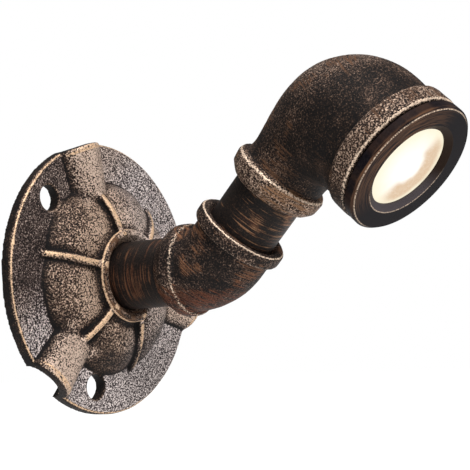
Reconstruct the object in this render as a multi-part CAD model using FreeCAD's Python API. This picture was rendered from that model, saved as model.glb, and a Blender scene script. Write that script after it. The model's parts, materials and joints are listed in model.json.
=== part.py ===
import FreeCAD, Part

import math
import os

from FreeCAD import Placement, Rotation, Vector

# Wall light made of cast pipe fittings: a floor flange against the wall, two pipe nipples,
# a 45 degree elbow and a reducing 90 degree elbow that holds a small LED lamp behind a
# screwed-in bezel.
#
# Row frame, millimetres: the wall is the plane y = 0 and the flange's centre is the origin.
# -Y points out of the wall into the room, +Z is up, +X is to the right seen from the room.

# ---- driving dimensions: pipe and threads ---------------------------------------------------
PIPE_R = 10.65            # half-inch pipe, outside radius
PIPE_BORE_R = 8.1         # half-inch pipe, inside radius
THREAD_CLEARANCE = 0.08   # radial running clearance of a screwed pipe joint
THREAD_LENGTH = 8.0       # screwed length of a nipple in a fitting
SOCKET_RELIEF = 0.5       # free space past the end of a nipple
PIPE_END_CHAMFER = 0.8
PASSAGE_R = 8.6           # cast passage inside the half-inch fittings
ARM_ANGLE = 45.0          # the arm leaves the wall's normal upwards by this angle
HEAD_TWIST = -6.0         # turn of the head on the arm, about the arm's axis
WALL_TO_ELBOW = 46.0      # wall plane to the centre of the 45 degree elbow
ELBOW_TO_HEAD = 62.0      # centre of the 45 degree elbow to the centre of the head elbow

# ---- wall flange ----------------------------------------------------------------------------
FLANGE_R = 43.4
FLANGE_T = 4.0
FLANGE_EDGE_BREAK = 0.8
HUB_R = 14.8
HUB_TOP = 15.0
HUB_FOOT_R = 16.4
HUB_ROUND = 1.4
HUB_COUNTERSINK_R = 13.0
SCREW_TO_RIM = 8.2        # screw centre to the flange's rim
SCREW_HOLE_R = 4.0
SCREW_HOLE_CHAMFER = 0.5
CUT_PAST = 1.0            # how far a cut runs past the face that it opens
FIRST_SCREW_ANGLE = 16.0
FIRST_RIDGE_ANGLE = 106.0
FIRST_RIB_ANGLE = 46.0
FIRST_PETAL_ANGLE = 16.0
RIDGE_COUNT = 3
PETAL_COUNT = 6
RIDGE_R = 9.2             # outside radius of the half-round ridge
RIDGE_RIM_CREST = 10.2    # crest height above the wall at the rim
RIDGE_FALL = 5.5          # the ridge's crest falls towards the hub by this angle
RIDGE_START_R = 14.0
RIDGE_END_BREAK = 0.5     # bevel round the ridge's end at the rim
CHANNEL_CREST = 6.3       # height of the cable channel under a ridge
CHANNEL_HALF_WIDTH = 7.0
PETAL_MID_R = 17.0        # radius at which a petal is highest
PETAL_ROUND_R = 16.0      # radius of its arc from the hub out to the disc
PETAL_CREST = 12.2
PETAL_CROWN_R = 24.0      # crown radius of a petal across its width
PETAL_HALF_TURN = 38.0    # turn of the crown to each side of the middle
RIB_T = 2.2
RIB_TOP_ROUND = 0.9
RIB_HUB_R = 13.4
RIB_HUB_HEIGHT = 14.2
LONG_RIB_END_R = 32.4
SHORT_RIB_END_R = 28.5
RIB_SAG = 0.09            # rise of a rib's arc over its chord, as a share of the chord
HOLLOW_R = 22.5           # wiring hollow in the back of the flange
HOLLOW_TOP_R = 18.5
HOLLOW_DEPTH = 5.2

# ---- 45 degree elbow ------------------------------------------------------------------------
ELBOW_BEND_R = 17.0
ELBOW_BODY_R = 12.7
ELBOW_WALL_END = 15.0     # elbow centre to its wall end
ELBOW_WALL_BAND_R = 14.1
ELBOW_WALL_BAND_FRONT = 7.0
ELBOW_WALL_BAND_BACK = 11.0
ELBOW_WALL_LIP_R = 11.6
ELBOW_ARM_END = 15.4
ELBOW_ARM_BAND_R = 14.5
ELBOW_ARM_BAND_W = 4.4
BAND_EDGE_BREAK = 0.7     # broken edges of the bands
MOUTH_R = 12.3            # bevelled mouth of the fitting round the pipe
MOUTH_DEPTH = 1.4

# ---- head: reducing 90 degree elbow ---------------------------------------------------------
HEAD_FAN = 20.5           # both centre lines to the axis that the casting's sections fan about
HEAD_COLLAR_R = 12.8      # neck behind the small band
HEAD_SHOULDER_R = 19.0    # casting behind the large band
LOFT_DEGREE = 3           # cubic along the bend
# Sections along the bend: turn in degrees, radius, and shift of the centre away from the fan axis.
HEAD_SECTIONS = ((0.0, 12.9, -1.0), (22.5, 15.9, -1.0), (45.0, 18.9, 0.4), (67.5, 19.9, 0.7))
HEAD_INLET_END = 32.8     # head centre to the end of the small socket
HEAD_INLET_BAND_TOP = 25.7
HEAD_INLET_BAND_R = 14.6
HEAD_INLET_BAND_SLOPE = 1.4
HEAD_INLET_LIP_R = 12.2
HEAD_INLET_LIP_L = 2.4    # length of the taper from the small band to its end
HEAD_BAND_BACK = 22.4     # head centre to the back of the large band
HEAD_BAND_FRONT = 29.0
HEAD_BAND_R = 20.4
HEAD_MOUTH_R = 16.4       # thread that takes the bezel
HEAD_CAVITY_R = 13.4
HEAD_CAVITY_DOME = 9.0    # head centre to the centre of the cavity's round end
HEAD_PASSAGE_R = 7.6

# ---- bezel and lamp, measured from the head's centre along its outlet axis ------------------
BEZEL_FACE = 32.9
BEZEL_R = 20.2
BEZEL_T = 3.0
BEZEL_EDGE_BREAK = 0.7
GROOVE_R = 18.3           # neck between the band and the bezel
BEVEL_W = 1.8             # width of the bevel round the view of the lens
BEVEL_DEPTH = 1.25
LENS_OVERLAP = 1.0        # width of the lens's rim that the bezel covers
LENS_LAND = 0.5
LENS_R = 13.5
LENS_T = 2.2
LENS_CROWN = 0.5
LENS_CLEARANCE = 0.2
GASKET_W = 1.7
GASKET_T = 0.8
REFLECTOR_FLANGE_T = 0.8
REFLECTOR_WALL = 0.8
REFLECTOR_MOUTH_R = 11.0
REFLECTOR_THROAT_R = 5.6
REFLECTOR_WAIST_R = 9.2   # radius where the cup's two slopes meet
REFLECTOR_WAIST_H = 3.7   # height of that edge above the board
REFLECTOR_DEPTH = 8.7
BOARD_CLEARANCE = 0.8     # radial, from the bezel's bore to the board
BOARD_T = 1.6
PAD_T = 0.5
PAD_SETBACK = 0.3         # radial, from the board's edge to the pad's
SINK_BASE_T = 3.0
SINK_RIM_CLEARANCE = 0.1
FIN_H = 5.0
FIN_T = 1.3
FIN_PITCH = 3.1
FIN_FIELD_R = 12.4
CHIP_SIDE = 7.0
CHIP_T = 0.7
CHIP_DOME_R = 2.9
CHIP_DOME_H = 0.5
BOARD_SCREW_R = 0.95
BOARD_SCREW_HEAD_R = 1.7
BOARD_SCREW_HEAD_H = 1.2
BOARD_SCREW_LENGTH = 4.2
BOARD_SCREW_CIRCLE_R = 9.6
BOARD_SCREW_SLOT_L = 2.0
BOARD_SCREW_SLOT_W = 0.45
BOARD_SCREW_SLOT_DEPTH = 0.6
LED_LEAD_R = 0.7
LED_LEAD_CIRCLE_R = 10.4
LED_LEAD_HOLE_R = 1.0
LED_LEAD_STAND = 0.6
LED_JOINT_R = 1.5         # solder joint on the board

# ---- driver ---------------------------------------------------------------------------------
INSULATOR_T = 0.6
INSULATOR_R = 12.2
DRIVER_W = 16.0
DRIVER_H = 17.0
DRIVER_T = 1.2
INDUCTOR_R = 3.0
INDUCTOR_H = 4.4
INDUCTOR_WINDING_R = 2.6
INDUCTOR_CHEEK_T = 0.9
CAPACITOR_R = 2.6
CAPACITOR_H = 6.4
CAPACITOR_GROOVE = 0.3    # depth of the rolled groove, and the end's edge break
CAPACITOR_GROOVE_W = 0.8
CAPACITOR_GROOVE_AT = 1.3 # groove's middle above the board
RECTIFIER_L = 4.7
RECTIFIER_W = 3.8
RECTIFIER_H = 2.2
RECTIFIER_STAND = 0.4     # gap from the rectifier's body to the board
RECTIFIER_FOOT_W = 0.8
RECTIFIER_FOOT_H = 1.1
RECTIFIER_FOOT_SPAN = 5.3
RECTIFIER_AT = (-5.0, -3.4)
LEAD_EDGE = 0.5           # driver board's edge to the lead soldered on it

# ---- leads, inlet bush and earth ------------------------------------------------------------
LEAD_R = 2.0
LEAD_SPLIT_GAP = 0.2      # the leads meet on the swivel axes with this gap
LEAD_START = 1.0          # wall plane to the start of the lead
BUSH_FLANGE_R = 9.4
BUSH_FLANGE_T = 1.2
BUSH_SLEEVE = 6.0
NIPPLE_BACK = 6.0         # wall plane to the back end of the wall nipple
TIE_WALL = 1.5
TIE_W = 2.2
EARTH_ANGLE = 286.0
EARTH_TAG_CLEARANCE = 0.7 # radial, from the tag to the hollow's wall
EARTH_SCREW_R = 1.5
EARTH_SCREW_HEAD_R = 2.9
EARTH_SCREW_HEAD_H = 1.9
EARTH_SCREW_HEAD_TAPER = 0.6
EARTH_SCREW_SLOT_W = 0.75
EARTH_SCREW_SLOT_DEPTH = 0.6
EARTH_SCREW_DEPTH = 4.0
EARTH_TAG_R = 3.2
EARTH_TAG_T = 0.8
EARTH_TAG_TAIL = 5.0
EARTH_CRIMP_R = 1.2

TINY = 1e-6               # lengths under this are nothing

O = Vector(0, 0, 0)
X = Vector(1, 0, 0)
Y = Vector(0, 1, 0)
Z = Vector(0, 0, 1)

# Local frames. In WALL and FACE, local Z runs out of the wall and out of the lamp. In ARM,
# local Z runs along the arm. In HEAD, the inlet is at -Z and the outlet at -Y.
WALL = Placement(O, Rotation(X, 90))
ELBOW_CENTRE = Vector(0, -WALL_TO_ELBOW, 0)
ARM = Placement(ELBOW_CENTRE, Rotation(X, 90 - ARM_ANGLE))
HEAD = ARM.multiply(Placement(Vector(0, 0, ELBOW_TO_HEAD), Rotation(Z, HEAD_TWIST)))
FACE = HEAD.multiply(Placement(O, Rotation(X, 90)))

# Sizes that follow from the driving ones.
SOCKET_R = PIPE_R + THREAD_CLEARANCE
SOCKET_DEPTH = THREAD_LENGTH + SOCKET_RELIEF
SCREW_CIRCLE_R = FLANGE_R - SCREW_TO_RIM
EARTH_SCREW_AT_R = HOLLOW_TOP_R - EARTH_TAG_CLEARANCE - EARTH_TAG_R
ELBOW_TANGENT = ELBOW_BEND_R * math.tan(math.radians(ARM_ANGLE / 2))
LENS_VIEW_R = LENS_R - LENS_OVERLAP
APERTURE_R = LENS_VIEW_R + BEVEL_W
LENS_SEAT_R = LENS_R + LENS_CLEARANCE
BOARD_R = LENS_SEAT_R - BOARD_CLEARANCE
PAD_R = BOARD_R - PAD_SETBACK
LENS_FRONT = BEZEL_FACE - BEVEL_DEPTH - LENS_LAND
LENS_BACK = LENS_FRONT - LENS_T
GASKET_BACK = LENS_BACK - GASKET_T
REFLECTOR_BACK = GASKET_BACK - REFLECTOR_DEPTH
BOARD_BACK = REFLECTOR_BACK - BOARD_T
PAD_BACK = BOARD_BACK - PAD_T
SINK_BACK = PAD_BACK - SINK_BASE_T
FIN_BACK = SINK_BACK - FIN_H
DRIVER_FRONT = FIN_BACK - INSULATOR_T
DRIVER_BACK = DRIVER_FRONT - DRIVER_T
LEAD_END_Y = DRIVER_H / 2 - LEAD_R - LEAD_EDGE
NIPPLE_FRONT = WALL_TO_ELBOW - ELBOW_WALL_END + THREAD_LENGTH
ARM_NIPPLE_START = ELBOW_ARM_END - THREAD_LENGTH
ARM_NIPPLE_END = ELBOW_TO_HEAD - HEAD_INLET_END + THREAD_LENGTH
WALL_SPLIT = NIPPLE_FRONT - THREAD_LENGTH / 2
ARM_SPLIT = ARM_NIPPLE_END - THREAD_LENGTH / 2


# ---- shape helpers --------------------------------------------------------------------------
def polar(radius, degrees, height=0.0):
    """Point at a radius and an angle in the local XY plane."""
    turn = math.radians(degrees)
    return Vector(radius * math.cos(turn), radius * math.sin(turn), height)


def turned(outline):
    """Solid of revolution about local Z.

    The outline is a closed list of (radius, height). An entry with four numbers is an arc:
    a point on the way, then the arc's end.
    """
    edges = []
    here = Vector(outline[0][0], 0, outline[0][1])
    for entry in outline[1:] + [outline[0][:2]]:
        there = Vector(entry[-2], 0, entry[-1])
        if len(entry) == 4:
            edges.append(Part.Arc(here, Vector(entry[0], 0, entry[1]), there).toShape())
        elif here.distanceToPoint(there) > TINY:
            edges.append(Part.LineSegment(here, there).toShape())
        here = there
    return Part.Face(Part.Wire(edges)).revolve(O, Z, 360)


def rounded_corner(radius, height, rounding):
    """Outline entry that rounds an outer corner, from its side wall to its flat top."""
    way = rounding * (1 - math.sqrt(0.5))
    return (radius - way, height - way, radius - rounding, height)


def broken_corner(radius, height, size):
    """Two outline entries that chamfer an outer corner, from its side wall to its flat top."""
    return [(radius, height - size), (radius - size, height)]


def crown(radius, height, rise):
    """Outline entry for a round crown that rises to the axis from a rim at this radius."""
    ball = (radius ** 2 + rise ** 2) / (2 * rise)
    way = radius / 2
    return (way, height + rise - ball + math.sqrt(ball ** 2 - way ** 2), 0, height + rise)


def rod(radius, low, high):
    return Part.makeCylinder(radius, high - low, Vector(0, 0, low), Z)


def tube(outer, inner, low, high):
    return rod(outer, low, high).cut(rod(inner, low, high))


def block(width, depth, low, high, centre=(0.0, 0.0)):
    corner = Vector(centre[0] - width / 2, centre[1] - depth / 2, low)
    return Part.makeBox(width, depth, high - low, corner)


def bend(radius, start, direction, inside, bend_radius, degrees):
    """Round bar that starts along a direction and turns towards the inside."""
    section = Part.Face(Part.Wire(Part.Circle(start, direction, radius).toShape()))
    axis = direction.cross(inside)
    return section.revolve(start + inside * bend_radius, axis, degrees)


def placed(shape, frame):
    """Copy of a shape moved from a local frame into the row frame."""
    moved = shape.copy()
    moved.Placement = frame.multiply(moved.Placement)
    return moved


def around(first_angle, count):
    return [first_angle + index * 360.0 / count for index in range(count)]


def turn_to(shape, degrees):
    moved = shape.copy()
    moved.rotate(O, Z, degrees)
    return moved


# ---- wall flange ----------------------------------------------------------------------------
def flange_plate():
    return turned([(0, 0), (FLANGE_R, 0), *broken_corner(FLANGE_R, FLANGE_T, FLANGE_EDGE_BREAK),
                   (0, FLANGE_T)])


def flange_hub():
    return turned([(0, 0), (HUB_FOOT_R, 0), (HUB_R, HUB_TOP - HUB_ROUND),
                   rounded_corner(HUB_R, HUB_TOP, HUB_ROUND), (0, HUB_TOP)])


def flange_petal():
    """Pillow between two ribs: one arc from the hub to the disc, crowned across its width."""
    centre_z = PETAL_CREST - PETAL_ROUND_R
    start_x = PETAL_MID_R / 2
    start_z = centre_z + math.sqrt(PETAL_ROUND_R ** 2 - start_x ** 2)
    end_x = PETAL_MID_R + math.sqrt(PETAL_ROUND_R ** 2 - centre_z ** 2)
    start = Vector(start_x, 0, start_z)
    end = Vector(end_x, 0, 0)
    corner = Vector(start_x, 0, 0)
    edges = [Part.Arc(start, Vector(PETAL_MID_R, 0, PETAL_CREST), end).toShape(),
             Part.LineSegment(end, corner).toShape(), Part.LineSegment(corner, start).toShape()]
    crown_axis = Vector(0, 0, PETAL_CREST - PETAL_CROWN_R)
    section = Part.Face(Part.Wire(edges))
    section.rotate(crown_axis, X, -PETAL_HALF_TURN)
    pillow = section.revolve(crown_axis, X, 2 * PETAL_HALF_TURN)
    return pillow.common(block(2 * FLANGE_R, 2 * FLANGE_R, FLANGE_T / 2, HUB_TOP, (FLANGE_R, 0)))


def on_rim(point):
    return abs(math.hypot(point.x, point.y) - FLANGE_R) < TINY


def flange_ridge():
    """Half-round ridge over a cable channel, falling from the rim towards the hub."""
    fall = math.radians(RIDGE_FALL)
    direction = Vector(-math.cos(fall), 0, -math.sin(fall))
    over = RIDGE_R                       # the bar starts this far outside the rim
    rim = Vector(FLANGE_R, 0, RIDGE_RIM_CREST - RIDGE_R / math.cos(fall))
    length = (FLANGE_R - RIDGE_START_R) / math.cos(fall) + over
    bar = Part.makeCylinder(RIDGE_R, length, rim - direction * over, direction)
    ridge = bar.common(rod(FLANGE_R, 0, HUB_TOP))
    end_edges = [edge for edge in ridge.Edges if edge.BoundBox.ZMax > FLANGE_T
                 and all(on_rim(vertex.Point) for vertex in edge.Vertexes)]
    return ridge.makeChamfer(RIDGE_END_BREAK, end_edges)


def flange_channel():
    """Round-topped channel under a ridge, open at the rim and into the hollow."""
    radius = (CHANNEL_HALF_WIDTH ** 2 + CHANNEL_CREST ** 2) / (2 * CHANNEL_CREST)
    start = Vector(HOLLOW_TOP_R - HOLLOW_DEPTH / 2, 0, CHANNEL_CREST - radius)
    return Part.makeCylinder(radius, FLANGE_R, start, X)


def flange_rib(end_radius, end_height):
    """Thin rib with a rounded top that falls in one arc from the hub."""
    start = Vector(RIB_HUB_R, 0, RIB_HUB_HEIGHT)
    end = Vector(end_radius, 0, end_height)
    chord = end - start
    lift = Vector(-chord.z, 0, chord.x).normalize() * -(chord.Length * RIB_SAG)
    top = Part.Arc(start, (start + end) * 0.5 - lift, end).toShape()
    foot_start = Vector(RIB_HUB_R, 0, FLANGE_T / 2)
    foot_end = Vector(end_radius, 0, FLANGE_T / 2)
    sides = [Part.LineSegment(end, foot_end).toShape(),
             Part.LineSegment(foot_end, foot_start).toShape(),
             Part.LineSegment(foot_start, start).toShape()]
    face = Part.Face(Part.Wire([top] + sides))
    face.translate(Vector(0, -RIB_T / 2, 0))
    rib = face.extrude(Vector(0, RIB_T, 0))
    crest = [edge for edge in rib.Edges if isinstance(edge.Curve, Part.Circle)]
    return rib.makeFillet(RIB_TOP_ROUND, crest)


def ridge_crest_at(radius):
    return RIDGE_RIM_CREST - (FLANGE_R - radius) * math.tan(math.radians(RIDGE_FALL))


def screw_hole():
    cone_r = SCREW_HOLE_R + SCREW_HOLE_CHAMFER
    hole = turned([(0, -CUT_PAST), (SCREW_HOLE_R, -CUT_PAST),
                   (SCREW_HOLE_R, FLANGE_T - SCREW_HOLE_CHAMFER), (cone_r, FLANGE_T),
                   (cone_r, HUB_TOP), (0, HUB_TOP)])
    hole.translate(Vector(SCREW_CIRCLE_R, 0, 0))
    return hole


def wall_flange():
    solid = flange_plate().fuse(flange_hub())
    petals = [turn_to(flange_petal(), angle) for angle in around(FIRST_PETAL_ANGLE, PETAL_COUNT)]
    ridge_angles = around(FIRST_RIDGE_ANGLE, RIDGE_COUNT)
    ridges = [turn_to(flange_ridge(), angle) for angle in ridge_angles]
    long_rib = flange_rib(LONG_RIB_END_R, FLANGE_T - RIB_TOP_ROUND / 2)
    short_rib = flange_rib(SHORT_RIB_END_R, ridge_crest_at(SHORT_RIB_END_R) - RIB_TOP_ROUND / 2)
    ribs = [turn_to(long_rib, angle) for angle in around(FIRST_RIB_ANGLE, RIDGE_COUNT)]
    ribs += [turn_to(short_rib, angle) for angle in ridge_angles]
    solid = solid.multiFuse(petals + ridges + ribs)

    hollow = turned([(0, -CUT_PAST), (HOLLOW_R, -CUT_PAST), (HOLLOW_R, 0),
                     (HOLLOW_TOP_R, HOLLOW_DEPTH), (0, HOLLOW_DEPTH)])
    countersink = HUB_COUNTERSINK_R - SOCKET_R
    bore = turned([(0, 0), (SOCKET_R, 0), (SOCKET_R, HUB_TOP - countersink),
                   (HUB_COUNTERSINK_R, HUB_TOP), (HUB_COUNTERSINK_R, HUB_TOP + CUT_PAST),
                   (0, HUB_TOP + CUT_PAST)])
    earth_hole = rod(EARTH_SCREW_R, 0, HOLLOW_DEPTH + EARTH_SCREW_DEPTH)
    earth_hole.translate(polar(EARTH_SCREW_AT_R, EARTH_ANGLE))
    tools = [hollow, bore, earth_hole]
    tools += [turn_to(flange_channel(), angle) for angle in ridge_angles]
    tools += [turn_to(screw_hole(), angle) for angle in around(FIRST_SCREW_ANGLE, RIDGE_COUNT)]
    return solid.cut(Part.Compound(tools)).removeSplitter()


# ---- pipe nipples ---------------------------------------------------------------------------
def nipple(low, high):
    chamfer = PIPE_END_CHAMFER
    return turned([(PIPE_BORE_R, low), (PIPE_R - chamfer, low), (PIPE_R, low + chamfer),
                   (PIPE_R, high - chamfer), (PIPE_R - chamfer, high), (PIPE_BORE_R, high)])


# ---- 45 degree elbow ------------------------------------------------------------------------
def socket(end):
    """Threaded socket bored down from a fitting's end."""
    return rod(SOCKET_R, end - SOCKET_DEPTH, end + CUT_PAST)


def mouth(end):
    """Bevel from the socket's wall out to the mouth radius."""
    return turned([(0, end - MOUTH_DEPTH), (SOCKET_R, end - MOUTH_DEPTH), (MOUTH_R, end),
                   (MOUTH_R, end + CUT_PAST), (0, end + CUT_PAST)])


def elbow_wall_arm():
    """Wall side of the elbow, with local Z pointing back to the wall."""
    back = ELBOW_WALL_BAND_BACK
    return turned([(0, ELBOW_TANGENT), (ELBOW_WALL_BAND_R - BAND_EDGE_BREAK, ELBOW_TANGENT),
                   (ELBOW_WALL_BAND_R, ELBOW_TANGENT + BAND_EDGE_BREAK), (ELBOW_WALL_BAND_R, back),
                   (ELBOW_WALL_LIP_R, ELBOW_WALL_END), (0, ELBOW_WALL_END)])


def elbow_arm_arm():
    """Arm side of the elbow, with local Z pointing up the arm."""
    low = ELBOW_ARM_END - ELBOW_ARM_BAND_W
    band_r = ELBOW_ARM_BAND_R
    return turned([(0, ELBOW_TANGENT), (ELBOW_BODY_R, ELBOW_TANGENT), (ELBOW_BODY_R, low),
                   (band_r - BAND_EDGE_BREAK, low), (band_r, low + BAND_EDGE_BREAK),
                   *broken_corner(band_r, ELBOW_ARM_END, BAND_EDGE_BREAK), (0, ELBOW_ARM_END)])


def elbow_45():
    outwards = Vector(0, -1, 0)
    start = ELBOW_CENTRE - outwards * ELBOW_TANGENT
    back = Placement(ELBOW_CENTRE, Rotation(X, -90))
    body = bend(ELBOW_BODY_R, start, outwards, Z, ELBOW_BEND_R, ARM_ANGLE)
    solid = body.multiFuse([placed(elbow_wall_arm(), back), placed(elbow_arm_arm(), ARM)])
    tools = [bend(PASSAGE_R, start, outwards, Z, ELBOW_BEND_R, ARM_ANGLE),
             placed(rod(PASSAGE_R, ELBOW_TANGENT, ELBOW_WALL_END), back),
             placed(rod(PASSAGE_R, ELBOW_TANGENT, ELBOW_ARM_END), ARM),
             placed(socket(ELBOW_WALL_END), back), placed(socket(ELBOW_ARM_END), ARM),
             placed(mouth(ELBOW_ARM_END), ARM)]
    for tool in tools:
        solid = solid.cut(tool)
    return solid


# ---- head: reducing 90 degree elbow ---------------------------------------------------------
def head_section(turn, radius, shift):
    """Round section of the casting in a plane through the fan axis."""
    angle = math.radians(turn)
    outward = Vector(0, math.cos(angle), math.sin(angle))
    along = Vector(0, -math.sin(angle), math.cos(angle))
    centre = Vector(0, -HEAD_FAN, -HEAD_FAN) + outward * (HEAD_FAN + shift)
    return Part.Wire(Part.Circle(centre, along, radius).toShape())


def head_body():
    """Casting between the two sockets: sections that swell into the dome of the bend."""
    collar = Part.Circle(Vector(0, 0, -HEAD_INLET_BAND_TOP), Z, HEAD_COLLAR_R)
    shoulder = Part.Circle(Vector(0, -HEAD_BAND_BACK, 0), Vector(0, -1, 0), HEAD_SHOULDER_R)
    wires = [Part.Wire(collar.toShape())]
    wires += [head_section(*section) for section in HEAD_SECTIONS]
    wires += [head_section(90, HEAD_SHOULDER_R, 0), Part.Wire(shoulder.toShape())]
    return Part.makeLoft(wires, True, False, False, LOFT_DEGREE)


def head_elbow():
    to_inlet = Rotation(X, 180)
    to_outlet = Rotation(X, 90)
    inlet = turned([(0, HEAD_INLET_BAND_TOP),
                    (HEAD_INLET_BAND_R - BAND_EDGE_BREAK, HEAD_INLET_BAND_TOP),
                    (HEAD_INLET_BAND_R, HEAD_INLET_BAND_TOP + HEAD_INLET_BAND_SLOPE),
                    (HEAD_INLET_BAND_R - BAND_EDGE_BREAK / 2, HEAD_INLET_END - HEAD_INLET_LIP_L),
                    (HEAD_INLET_LIP_R, HEAD_INLET_END), (0, HEAD_INLET_END)])
    band = turned([(0, HEAD_BAND_BACK), (HEAD_BAND_R - BAND_EDGE_BREAK, HEAD_BAND_BACK),
                   (HEAD_BAND_R, HEAD_BAND_BACK + BAND_EDGE_BREAK),
                   *broken_corner(HEAD_BAND_R, HEAD_BAND_FRONT, BAND_EDGE_BREAK),
                   (0, HEAD_BAND_FRONT)])
    solid = head_body().multiFuse([placed(inlet, Placement(O, to_inlet)),
                                   placed(band, Placement(O, to_outlet))])
    riser = rod(HEAD_PASSAGE_R, HEAD_CAVITY_R / 2, HEAD_INLET_END)
    cavity = rod(HEAD_CAVITY_R, HEAD_CAVITY_DOME, HEAD_BAND_FRONT)
    mouth_bore = rod(HEAD_MOUTH_R, SINK_BACK, HEAD_BAND_FRONT + CUT_PAST)
    dome = Part.makeSphere(HEAD_CAVITY_R, Vector(0, -HEAD_CAVITY_DOME, 0))
    tools = [placed(socket(HEAD_INLET_END), Placement(O, to_inlet)),
             placed(riser, Placement(O, to_inlet)), placed(cavity, Placement(O, to_outlet)),
             placed(mouth_bore, Placement(O, to_outlet)), dome]
    for tool in tools:
        solid = solid.cut(tool)
    return solid


# ---- bezel and lens -------------------------------------------------------------------------
def bezel_ring():
    """Ring with a threaded skirt, which clamps the lamp against the head's inner shoulder."""
    ring_back = BEZEL_FACE - BEZEL_T
    thread_r = HEAD_MOUTH_R - THREAD_CLEARANCE
    skirt_end = PAD_BACK
    bevel_end = BEZEL_FACE - BEVEL_DEPTH
    return turned([(LENS_SEAT_R, skirt_end), (thread_r, skirt_end), (thread_r, HEAD_BAND_FRONT),
                   (GROOVE_R, HEAD_BAND_FRONT), (GROOVE_R, ring_back), (BEZEL_R, ring_back),
                   *broken_corner(BEZEL_R, BEZEL_FACE, BEZEL_EDGE_BREAK),
                   (APERTURE_R, BEZEL_FACE), (LENS_VIEW_R, bevel_end),
                   (LENS_VIEW_R, LENS_FRONT), (LENS_SEAT_R, LENS_FRONT)])


def lens():
    crown_r = LENS_VIEW_R - LENS_CLEARANCE
    return turned([(0, LENS_BACK), (LENS_R, LENS_BACK), (LENS_R, LENS_FRONT),
                   (crown_r, LENS_FRONT), crown(crown_r, LENS_FRONT, LENS_CROWN)])


def lens_gasket():
    return tube(LENS_R, LENS_R - GASKET_W, GASKET_BACK, LENS_BACK)


def reflector():
    """Bright cup in two slopes, with a rim under the gasket and a throat round the chip."""
    rim = GASKET_BACK
    floor = REFLECTOR_BACK
    wall = REFLECTOR_WALL
    flange = rim - REFLECTOR_FLANGE_T
    waist = floor + REFLECTOR_WAIST_H
    return turned([(REFLECTOR_THROAT_R, floor), (REFLECTOR_THROAT_R + wall, floor),
                   (REFLECTOR_WAIST_R + wall, waist), (REFLECTOR_MOUTH_R + wall, flange),
                   (LENS_R, flange), (LENS_R, rim), (REFLECTOR_MOUTH_R, rim),
                   (REFLECTOR_WAIST_R, waist), (REFLECTOR_THROAT_R, floor + wall / 2)])


# ---- light source ---------------------------------------------------------------------------
def lead_holes(low, high):
    return [rod(LED_LEAD_HOLE_R, low, high).translated(Vector(side * LED_LEAD_CIRCLE_R, 0, 0))
            for side in (-1, 1)]


def screw_holes(radius, low, high):
    return [rod(radius, low, high).translated(Vector(0, side * BOARD_SCREW_CIRCLE_R, 0))
            for side in (-1, 1)]


def led_board():
    board = rod(BOARD_R, BOARD_BACK, REFLECTOR_BACK)
    holes = lead_holes(BOARD_BACK, REFLECTOR_BACK)
    holes += screw_holes(BOARD_SCREW_R, BOARD_BACK, REFLECTOR_BACK)
    return board.cut(Part.Compound(holes))


def led_chip():
    """Square chip carrier with its round phosphor."""
    top = REFLECTOR_BACK + CHIP_T
    carrier = block(CHIP_SIDE, CHIP_SIDE, REFLECTOR_BACK, top)
    dome = turned([(0, top - CHIP_T / 2), (CHIP_DOME_R, top - CHIP_T / 2), (CHIP_DOME_R, top),
                   crown(CHIP_DOME_R, top, CHIP_DOME_H)])
    return carrier.fuse(dome)


def thermal_pad():
    pad = rod(PAD_R, PAD_BACK, BOARD_BACK)
    holes = lead_holes(PAD_BACK, BOARD_BACK) + screw_holes(BOARD_SCREW_R, PAD_BACK, BOARD_BACK)
    return pad.cut(Part.Compound(holes))


def heat_sink():
    """Turned plate with straight fins on its back, cut to a round field."""
    base = rod(HEAD_MOUTH_R - SINK_RIM_CLEARANCE, SINK_BACK, PAD_BACK)
    count = int(FIN_FIELD_R / FIN_PITCH)
    fins = [block(FIN_T, 2 * FIN_FIELD_R, FIN_BACK, SINK_BACK, (index * FIN_PITCH, 0))
            for index in range(-count, count + 1)]
    field = rod(FIN_FIELD_R, FIN_BACK, SINK_BACK)
    solid = base.multiFuse([fin.common(field) for fin in fins])
    screw_end = REFLECTOR_BACK - BOARD_SCREW_LENGTH
    tools = lead_holes(FIN_BACK, PAD_BACK) + screw_holes(BOARD_SCREW_R, screw_end, PAD_BACK)
    return solid.cut(Part.Compound(tools))


def board_screws():
    """Two pan-head screws with a cross slot, through the board into the heat sink."""
    top = REFLECTOR_BACK + BOARD_SCREW_HEAD_H
    rim = REFLECTOR_BACK + BOARD_SCREW_HEAD_H / 2
    head = turned([(0, REFLECTOR_BACK), (BOARD_SCREW_HEAD_R, REFLECTOR_BACK),
                   (BOARD_SCREW_HEAD_R, rim),
                   crown(BOARD_SCREW_HEAD_R, rim, BOARD_SCREW_HEAD_H / 2)])
    shank = rod(BOARD_SCREW_R, REFLECTOR_BACK - BOARD_SCREW_LENGTH, REFLECTOR_BACK)
    sizes = (BOARD_SCREW_SLOT_L, BOARD_SCREW_SLOT_W)
    slots = [block(*size, top - BOARD_SCREW_SLOT_DEPTH, top + CUT_PAST)
             for size in (sizes, sizes[::-1])]
    screw = head.fuse(shank).cut(Part.Compound(slots))
    return Part.Compound([screw.translated(Vector(0, side * BOARD_SCREW_CIRCLE_R, 0))
                          for side in (-1, 1)])


def led_lead(side):
    """Lead from the driver, up past the fins and through the board to its solder joint."""
    lead = rod(LED_LEAD_R, DRIVER_FRONT, REFLECTOR_BACK + LED_LEAD_STAND)
    foot = Vector(0, 0, REFLECTOR_BACK)
    joint = Part.makeCone(LED_JOINT_R, LED_LEAD_R, LED_LEAD_STAND, foot, Z)
    return lead.fuse(joint).translated(Vector(side * LED_LEAD_CIRCLE_R, 0, 0))


# ---- driver ---------------------------------------------------------------------------------
def insulator():
    disc = rod(INSULATOR_R, DRIVER_FRONT, FIN_BACK)
    return disc.cut(Part.Compound(lead_holes(DRIVER_FRONT, FIN_BACK)))


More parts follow.
